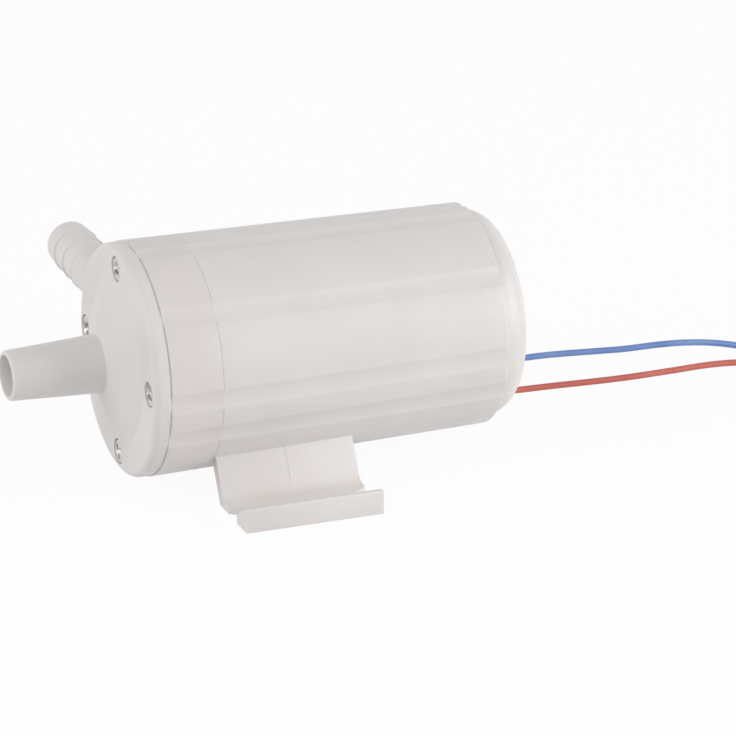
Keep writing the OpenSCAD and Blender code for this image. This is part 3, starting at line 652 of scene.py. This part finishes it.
def moved(piece, matrix):
    """Moves the points of a piece, so that its object stays at the origin."""
    piece.data.transform(matrix)
    return piece


def aside(piece, at):
    """Moves a piece from the pump axis to a place of the given level and height."""
    return moved(piece, Matrix.Translation((0, at[0] * MM, at[1] * MM)))


def bar(x0, x1, r, steps=48, at=(0, 0)):
    """A round bar along the pump axis."""
    outline = [(x0, 0), (x0, r), (x1, r), (x1, 0)]
    return aside(turned_piece("tool", outline, case_white, steps), at)


def combine(piece, tools, operation):
    """Cuts tools out of a piece, or joins them to it, and clears them away."""
    for tool in tools:
        modifier = piece.modifiers.new("combine", "BOOLEAN")
        modifier.operation = operation
        modifier.solver = "MANIFOLD"
        modifier.object = tool
        keep_result(piece)
        bpy.data.objects.remove(tool)
    return piece


def to_place(piece):
    """From distances behind the seam and the pump axis to the part's frame."""
    return moved(piece, Matrix.Translation(place(0, 0, 0)))


def screw_spot(angle):
    """Level and height, from the axis, of a screw at an angle up from the near side."""
    turn = math.radians(angle)
    return (-SCREW_CIRCLE_R * math.cos(turn), SCREW_CIRCLE_R * math.sin(turn))


def screw_bars(x0, x1, r):
    """Four round bars in line with the screws."""
    return [bar(x0, x1, r, at=screw_spot(angle)) for angle in SCREW_ANGLES]


def box(low, high):
    """A plain block between two corners in millimetres."""
    mesh = bmesh.new()
    bmesh.ops.create_cube(mesh, size=1)
    for vert in mesh.verts:
        vert.co = Vector([(low[i] if vert.co[i] < 0 else high[i]) * MM for i in range(3)])
    return finished_piece(mesh, "tool", case_white)


# Motor housing: the long fluted cup

FLUTED_STEPS = 720
BOSS_R, CASE_BOSS_END = 3.2, 18.1
PILOT_R, PILOT_END = 1.5, 17.6
GROMMET_HOLE_START = 70


def build_motor_case():
    """The cup with its step and rounded end, its screw bosses and the holes for the leads."""
    end_r, inner_end = body_r_at(FLUTED_LEN) - REAR_STEP, BODY_LEN - WALL
    outline = rounded([
        (BODY_LEN, 0, 0), (BODY_LEN, end_r, REAR_ROUND), (FLUTED_LEN, end_r, 0),
        (FLUTED_LEN, body_r_at(FLUTED_LEN), 0.4), (RING_LEN, body_r_at(RING_LEN), 0.22),
        (RING_LEN, body_r_at(RING_LEN) - WALL, 0), (inner_end, end_r - WALL, 1.0),
        (inner_end, 0, 0),
    ], steps=8)
    case = turned_piece("motor_case", outline, case_white, FLUTED_STEPS, fluted=True, longest=5.0)
    combine(case, screw_bars(RING_LEN, CASE_BOSS_END, BOSS_R), "UNION")
    cuts = screw_bars(RING_LEN - 0.5, PILOT_END, PILOT_R)
    cuts += [bar(GROMMET_HOLE_START, BODY_LEN + 1, GROMMET_R, at=(side * LEAD_Y, -LEAD_DROP))
             for side in (-1, 1)]
    combine(case, cuts, "DIFFERENCE")
    to_place(case)
    soften(case, 32)
    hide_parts("motor_housing")
    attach(case, "pump_body")


# Grommets, whose lips close on the leads

GROMMET_BORE_R = 0.96
GROMMET_LIP = 0.12


def build_grommets():
    """Two rubber grommets with a thin lip that closes on each lead."""
    back, face, lip = GROMMET_FACE - GROMMET_LEN, GROMMET_FACE + 0.01, GROMMET_FACE + GROMMET_LIP
    lip_r = WIRE_D / 2 + 0.01
    pair = []
    for side in (-1, 1):
        grommet = turned_piece("grommet_pair" if side < 0 else "tool", rounded([
            (back, 1.0, 0), (back, GROMMET_R, 0), (lip, GROMMET_R, 0.25), (lip, lip_r, 0.05),
            (face, lip_r, 0), (face, GROMMET_BORE_R, 0), (back, GROMMET_BORE_R, 0),
            (back, 1.0, 0)]), INNER_FINISHES["lead_grommets"], 48)
        pair.append(aside(grommet, (side * LEAD_Y, -LEAD_DROP)))
    grommets = to_place(combine(pair[0], pair[1:], "UNION"))
    soften(grommets, 35)
    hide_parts("lead_grommets")
    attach(grommets, "pump_body")


# Pump housing: the fluted ring, its bulkhead and the seat of the motor's nose

RING_FRONT = 0.02
RING_BORE_R = 22.2
BULKHEAD_FRONT, BULKHEAD_BACK = 7.3, 10.0
COLLAR_IN_R, COLLAR_OUT_R = 18.1, 19.6
NOSE_END, NOSE_OUT_R, NOSE_IN_R = 13.0, 8.6, 6.6
SEAL_FRONT, SEAL_R = 8.0, 4.5
SHAFT_HOLE_R = 2.2
SCREW_CLEAR_R = 1.65
NOTCH_START, NOTCH_END, NOTCH_R = 12.0, 30.0, 5.35


def along_outlet(piece):
    """From the pump axis to the outlet's axis, which runs out to the far side."""
    turn = Matrix.Rotation(math.radians(90), 4, "Z")
    return moved(piece, Matrix.Translation((OUTLET_X * MM, 0, OUTLET_RISE * MM)) @ turn)


def build_pump_ring():
    """The ring, with its clearance holes and a notch open to the seam for the outlet."""
    inner_r = body_r_at(RING_LEN) - WALL
    outer_front = body_r_at(SEAM_GAP)
    outline = rounded([
        (BULKHEAD_FRONT, RING_BORE_R, 0), (RING_FRONT, inner_r, 0),
        (RING_FRONT, outer_front - SEAM_DEPTH, 0), (SEAM_GAP, outer_front - SEAM_DEPTH, 0),
        (SEAM_GAP, outer_front, 0.2), (RING_LEN, body_r_at(RING_LEN), 0.12),
        (RING_LEN, inner_r, 0), (BULKHEAD_BACK, inner_r, 0),
        (BULKHEAD_BACK, NOSE_OUT_R, 0), (NOSE_END, NOSE_OUT_R, 0), (NOSE_END, NOSE_IN_R, 0),
        (BULKHEAD_BACK, NOSE_IN_R, 0), (BULKHEAD_BACK, SEAL_R, 0), (SEAL_FRONT, SEAL_R, 0),
        (SEAL_FRONT, SHAFT_HOLE_R, 0), (BULKHEAD_FRONT, SHAFT_HOLE_R, 0),
        (BULKHEAD_FRONT, COLLAR_IN_R, 0), (SEAM_GAP, COLLAR_IN_R, 0),
        (SEAM_GAP, COLLAR_OUT_R, 0), (BULKHEAD_FRONT, COLLAR_OUT_R, 0),
        (BULKHEAD_FRONT, RING_BORE_R, 0),
    ])
    ring = turned_piece("pump_ring", outline, ring_white, FLUTED_STEPS, fluted=True, longest=5.0)
    combine(ring, screw_bars(SEAM_GAP, RING_LEN, BOSS_R), "UNION")
    cuts = screw_bars(-1, RING_LEN + 1, SCREW_CLEAR_R)
    cuts += [
        along_outlet(bar(NOTCH_START, NOTCH_END, NOTCH_R, 72)),
        box((-1.5, NOTCH_START, OUTLET_RISE - NOTCH_R),
            (OUTLET_X, NOTCH_END, OUTLET_RISE + NOTCH_R)),
    ]
    combine(ring, cuts, "DIFFERENCE")
    to_place(ring)
    soften(ring, 32)
    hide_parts("pump_housing")
    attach(ring, "pump_body")


# Front cover: rim, raised cone, inlet spigot, chamber wall and barbed outlet

CHAMBER_WALL_R, CHAMBER_WALL_END = 18.0, 7.0
RIM_R, RIM_LEN, RIM_ROUND = 24.8, 3.5, 1.7
CONE_R = 16.9
SPIGOT_ROOT, SPIGOT_ROOT_R = -7.8, 6.25
SPIGOT_TIP, SPIGOT_TIP_R = -27.8, 5.3
INLET_BORE_R, OUTLET_BORE_R = 4.0, 3.5
OUTLET_ROOT, OUTLET_R = 8, 5.1
BARBS, BARB_PITCH, BARB_R, NECK_R = 3, 5.5, 5.25, 4.9


def outlet_outline():
    """The outlet from its root in the cover to its tip, with barbs that narrow outwards."""
    start = OUTLET_REACH - BARBS * BARB_PITCH
    corners = [(OUTLET_ROOT, 0, 0), (OUTLET_ROOT, OUTLET_R, 0), (start, OUTLET_R, 0)]
    for i in range(BARBS):
        last = i == BARBS - 1
        corners += [(start + i * BARB_PITCH, BARB_R, 0.12),
                    (start + (i + 1) * BARB_PITCH, NECK_R, 0.3 if last else 0.1)]
    return rounded(corners + [(OUTLET_REACH, 0, 0)], 4)


def cover_hollows():
    """The impeller's chamber, both bores, the inlet's countersink and the seal's groove."""
    chamber = [(7.5, 0), (7.5, 15.0), (-1.0, 15.0), (-5.3, 5.5), (-5.3, 0)]
    countersink = [(-28.5, 0), (-28.5, 4.55), (-27.6, 4.4), (-25.4, 3.99), (-25.4, 0)]
    groove = [(5.8, 15.7), (5.8, 17.3), (7.5, 17.3), (7.5, 15.7), (5.8, 15.7)]
    return [
        turned_piece("tool", chamber, cover_white),
        bar(-28.5, 0, INLET_BORE_R, 120),
        turned_piece("tool", countersink, cover_white, 120),
        along_outlet(bar(7.5, 45.5, OUTLET_BORE_R, 96)),
        turned_piece("tool", groove, cover_white),
    ]


def screw_well(at):
    """The shallow round pocket in the rim that takes a screw's head."""
    return aside(turned_piece("tool", rounded([
        (-4.0, 0, 0), (-4.0, 2.95, 0), (-3.6, 2.95, 0), (-3.35, 2.75, 0.1),
        (-2.0, 2.75, 0), (-2.0, 0, 0)]), cover_white, 64), at)


def build_front_cover():
    """One moulding: everything that stands out is joined first, and then hollowed."""
    outline = rounded([
        (CHAMBER_WALL_END, 0, 0), (CHAMBER_WALL_END, CHAMBER_WALL_R, 0.3),
        (0, CHAMBER_WALL_R, 0), (0, RIM_R, 0.2), (-RIM_LEN, RIM_R, RIM_ROUND),
        (-RIM_LEN, CONE_R, 1.6), (SPIGOT_ROOT, SPIGOT_ROOT_R, 0.35),
        (SPIGOT_TIP, SPIGOT_TIP_R, 0.5), (SPIGOT_TIP, 0, 0),
    ], steps=8)
    cover = turned_piece("front_cover_moulding", outline, cover_white, longest=5.0)
    outlet = along_outlet(turned_piece("tool", outlet_outline(), cover_white, 120))
    combine(cover, [outlet], "UNION")
    cuts = cover_hollows()
    for angle in SCREW_ANGLES:
        spot = screw_spot(angle)
        cuts += [bar(-4, 1, SCREW_CLEAR_R, at=spot), screw_well(spot)]
    combine(cover, cuts, "DIFFERENCE")
    to_place(cover)
    soften(cover, 32)
    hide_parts("front_cover")
    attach(cover, "pump_body")


# Cover screws: pan heads with a cross recess, four alike

HEAD_R, SHANK_R, THREAD_ROOT_R = 2.62, 1.5, 1.3
THREADS, THREAD_START, THREAD_PITCH = 20, 0.8, 0.8
RECESS_TOP, RECESS_FLOOR, RECESS_WIDTH, RECESS_SPAN = -1.6, -0.35, 0.9, 3.5
# the zone along the axis, and the reach from each screw's axis, of the painted recess shade
RECESS_ZONE, RECESS_REACH = (-2.9, -2.2), 1.95  # once the screws stand in the cover
SCREW_SEAT = -2.0


def screw_template():
    """One screw about the pump axis, its head's seat at the origin."""
    outline = rounded([
        (-1.5, 0, 0), (-1.42, 1.5, 0.8), (-1.25, 2.45, 0.3), (-0.9, HEAD_R, 0.2),
        (0, HEAD_R, 0.12), (0, SHANK_R, 0), (THREAD_START, SHANK_R, 0)], 6)
    for k in range(THREADS):
        x = THREAD_START + k * THREAD_PITCH
        outline += [(x + 0.2, THREAD_ROOT_R), (x + 0.4, THREAD_ROOT_R),
                    (x + 0.6, SHANK_R), (x + 0.8, SHANK_R)]
    outline += [(18.2, 0.5), (19.0, 0)]
    screw = turned_piece("cover_screws_set", outline, screw_steel, 48, longest=20)
    for turn in (0, 90):
        combine(screw, [recess_wedge(turn)], "DIFFERENCE")
    return screw


def recess_wedge(turn):
    """One arm of the cross recess, which narrows towards its floor."""
    mesh = bmesh.new()
    bmesh.ops.create_cube(mesh, size=1)
    for vert in mesh.verts:
        deep = vert.co.x > 0
        vert.co = Vector((
            (RECESS_FLOOR if deep else RECESS_TOP) * MM,
            vert.co.y * RECESS_WIDTH * (0.8 if deep else 1.15) * MM,
            vert.co.z * RECESS_SPAN * (0.4 if deep else 1.1) * MM))
    mesh.transform(Matrix.Rotation(math.radians(turn), 4, "X"))
    return finished_piece(mesh, "tool", screw_steel)


def screw_ring_tree():
    """Sets a copy of one screw at each place of the ring, each driven home at its own turn."""
    tree = ShapeTree("screw_ring", [
        ("Count", "NodeSocketInt", 4),
        ("Ring Radius", "NodeSocketFloat", SCREW_CIRCLE_R * MM),
        ("Seat", "NodeSocketVector", (0, 0, 0)),
        ("Seed", "NodeSocketInt", 7),
        ("Finish", "NodeSocketMaterial", None),
    ])
    given = tree.given
    ring = tree.node("GeometryNodeMeshCircle", {
        "Vertices": given["Count"], "Radius": given["Ring Radius"]})
    upright = tree.node("GeometryNodeTransform", {
        "Geometry": ring.outputs[0], "Translation": given["Seat"],
        "Rotation": (0, math.radians(90), 0)})
    drive = tree.node("FunctionNodeRandomValue", {
        2: 0.2, 3: 1.4, "Seed": given["Seed"]}, data_type="FLOAT")
    turn = tree.node("FunctionNodeAxisAngleToRotation", {
        "Axis": (1, 0, 0), "Angle": drive.outputs[1]})
    copies = tree.node("GeometryNodeInstanceOnPoints", {
        "Points": upright.outputs[0], "Instance": given["Geometry"],
        "Rotation": turn.outputs[0]})
    return tree.finish(copies.outputs[0])


def paint_recess_shade(data):
    """Paints shade on the faces that reach down into the cross recesses, as a dark steel."""
    data.materials.append(recess_steel)
    axes = [screw_spot(angle) for angle in SCREW_ANGLES]
    spots = [(vert.co - place(0, 0, 0)) / MM for vert in data.vertices]
    # the faces deep in a recess, which take the painted shade
    deep = [RECESS_ZONE[0] < spot.x < RECESS_ZONE[1] and min(
        math.hypot(spot.y - y, spot.z - z) for y, z in axes) < RECESS_REACH for spot in spots]
    for face in data.polygons:
        if any(deep[i] for i in face.vertices):
            face.material_index = 1


def build_cover_screws():
    """Four screws in the rim, from one template."""
    screws = screw_template()
    run_tree(screws, screw_ring_tree(), {
        "Count": len(SCREW_ANGLES), "Ring Radius": SCREW_CIRCLE_R * MM, "Seed": 7,
        "Seat": tuple(place(SCREW_SEAT, 0, 0)), "Finish": screw_steel})
    # paints shade into the cross recesses
    paint_recess_shade(screws.data)
    soften(screws, 30)
    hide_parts("cover_screws")
    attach(screws, "pump_body")


# Feet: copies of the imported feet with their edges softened

JOINT_LINE_HALF = 0.3  # half the width of the strip that holds the joint line
LINE_FILL = 0.43
FOOT_SEAT = 9.3
FOOT_EDGE = 0.35


def in_joint_line(part):
    """Whether a face or an edge lies in the joint line across the middle of the foot."""
    return all(abs(vert.co.x) < JOINT_LINE_HALF * MM for vert in part.verts)


def raise_joint_line(mesh):
    """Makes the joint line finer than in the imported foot, by lifting its floor."""
    mesh.normal_update()
    floor = [face for face in mesh.faces if abs(face.normal.x) < 0.1 and in_joint_line(face)]
    widest = max(floor, key=lambda face: face.calc_area())
    shift = widest.normal * LINE_FILL * MM
    for vert in widest.verts:
        vert.co += shift


def build_foot(side):
    """A foot whose free edges are rounded, and whose top edge stays closed on the body."""
    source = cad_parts[f"{side}_foot"]
    mesh = bmesh.new()
    mesh.from_mesh(source.data)
    bmesh.ops.remove_doubles(mesh, verts=mesh.verts, dist=1e-6)
    bmesh.ops.dissolve_limit(mesh, angle_limit=math.radians(0.5), verts=mesh.verts,
                             edges=mesh.edges)
    raise_joint_line(mesh)
    weight = mesh.edges.layers.float.new("bevel_weight_edge")
    for edge in mesh.edges:
        sharp = len(edge.link_faces) == 2 and edge.calc_face_angle(0) > math.radians(30)
        seated = all(vert.co.z > FOOT_SEAT * MM for vert in edge.verts)
        edge[weight] = float(sharp and not seated and not in_joint_line(edge))
    foot = finished_piece(mesh, f"{side}_foot_moulding", foot_white)
    edges = foot.modifiers.new("soft_edges", "BEVEL")
    edges.width = FOOT_EDGE * MM
    edges.segments = 3
    edges.limit_method = "WEIGHT"
    keep_result(foot)
    soften(foot, 32)
    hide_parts(f"{side}_foot")
    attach(foot, "pump_body")


lay_lead("red", RED_ROUTE, -1, red_pvc)
lay_lead("blue", BLUE_ROUTE, 1, blue_pvc)
build_motor_case()
build_grommets()
build_pump_ring()
build_front_cover()
build_cover_screws()
for foot_side in ("right", "left"):
    build_foot(foot_side)


# Floor, backdrop and lights

WHITE = (1, 1, 1, 1)
FLOOR_HALF = 6
FLOOR_DROP = 0.04  # keeps the floor from lying in one plane with the feet's undersides
FLOOR_WHITE_SHARE = 0.95


def studio_floor():
    """A pale floor that keeps the pump's shadow and runs out into the white backdrop."""
    mesh = bmesh.new()
    bmesh.ops.create_grid(mesh, x_segments=1, y_segments=1, size=FLOOR_HALF,
                          matrix=Matrix.Translation((0, 0, -FLOOR_DROP * MM)))
    finish = Finish("studio_floor_white")
    shade = finish.noise(3, 2)
    finish.set(Base_Color=finish.mix(shade, (0.8, 0.8, 0.8, 1), (0.83, 0.83, 0.83, 1)),
               Roughness=0.9, Specular_IOR_Level=0.1)
    glow = finish.node("ShaderNodeEmission", {"Color": WHITE, "Strength": 1.0})
    share = finish.math("MULTIPLY", finish.seen_directly(), FLOOR_WHITE_SHARE)
    blend = finish.node("ShaderNodeMixShader", {
        0: share, 1: finish.shader.outputs[0], 2: glow.outputs[0]})
    finish.tree.links.new(blend.outputs[0], finish.output.inputs["Surface"])
    floor = finished_piece(mesh, "studio_floor", finish.material)


def studio_world():
    """White to look at, and an even room light, a little stronger near the horizon."""
    world = bpy.data.worlds.new("studio_white")
    bpy.context.scene.world = world
    world.use_nodes = True
    world.node_tree.nodes.clear()
    room = NodeTools(world.node_tree)
    way = room.node("ShaderNodeTexCoord").outputs["Generated"]
    up = room.node("ShaderNodeSeparateXYZ", {0: way}).outputs["Z"]
    light = room.node("ShaderNodeBackground", {
        "Color": WHITE, "Strength": room.range(up, 0.1, 0.9, 0.6, 0.42)})
    white = room.node("ShaderNodeBackground", {"Color": WHITE, "Strength": 1.0})
    mix = room.node("ShaderNodeMixShader", {
        0: room.seen_directly(), 1: light.outputs[0], 2: white.outputs[0]})
    room.node("ShaderNodeOutputWorld", {"Surface": mix.outputs[0]})


def soft_light(name, position, aim, size, power):
    """A rectangular soft box that faces a point on the pump."""
    data = bpy.data.lights.new(name, "AREA")
    data.shape = "RECTANGLE"
    data.size, data.size_y = size
    data.energy = power
    light = bpy.data.objects.new(name, data)
    light.location = position
    light.rotation_mode = "QUATERNION"
    direction = Vector(aim) - Vector(position)
    light.rotation_quaternion = direction.to_track_quat("-Z", "Y")
    bpy.context.scene.collection.objects.link(light)


studio_floor()
studio_world()
soft_light("right_softbox", (0.5, -0.37, 0.2), (0.03, 0, 0.03), (0.5, 0.36), 2.0)
soft_light("left_softbox", (-0.88, -0.12, 0.58), (0.0, 0, 0.03), (0.8, 0.7), 3.7)

bpy.context.scene.view_settings.view_transform = "Standard"
